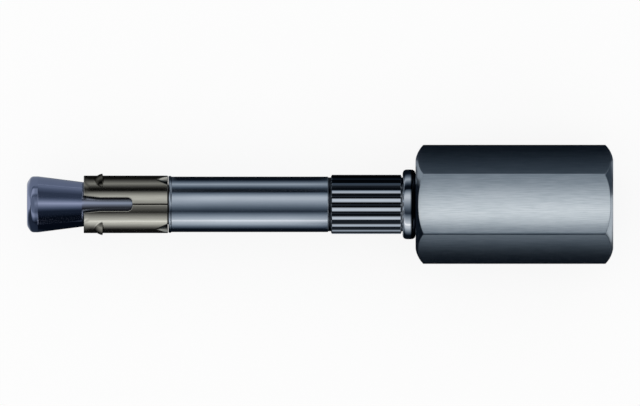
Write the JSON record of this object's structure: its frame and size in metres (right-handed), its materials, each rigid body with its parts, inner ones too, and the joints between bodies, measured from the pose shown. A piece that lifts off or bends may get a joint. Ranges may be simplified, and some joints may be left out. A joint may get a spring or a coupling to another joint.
{
  "type": "nail anchor",
  "caption": "Hammer-set steel nail anchor with an expansion cone and clip, a knurled shank with a collar, and a hexagon socket with an inside thread.",
  "frame": {"origin": "on the anchor's axis in the plane of the collar's wall side, which meets the wall when the anchor is driven in", "axes": "+X along the axis, out of the wall and towards the hexagon's mouth; +Z square to one flat of the hexagon, through the clip's seam"},
  "size_m": [0.0621, 0.0126, 0.011],
  "materials": {
    "plated_bolt": "bright zinc plating over cold-formed steel",
    "rolled_sheet": "bright rolled stainless sheet",
    "plated_hexagon": "zinc plating over drawn hexagonal bar"
  },
  "bodies": {
    "root": {"expansion_bolt": "plated_bolt", "expansion_clip": "rolled_sheet", "threaded_hex_socket": "plated_hexagon"}
  },
  "joints": []
}
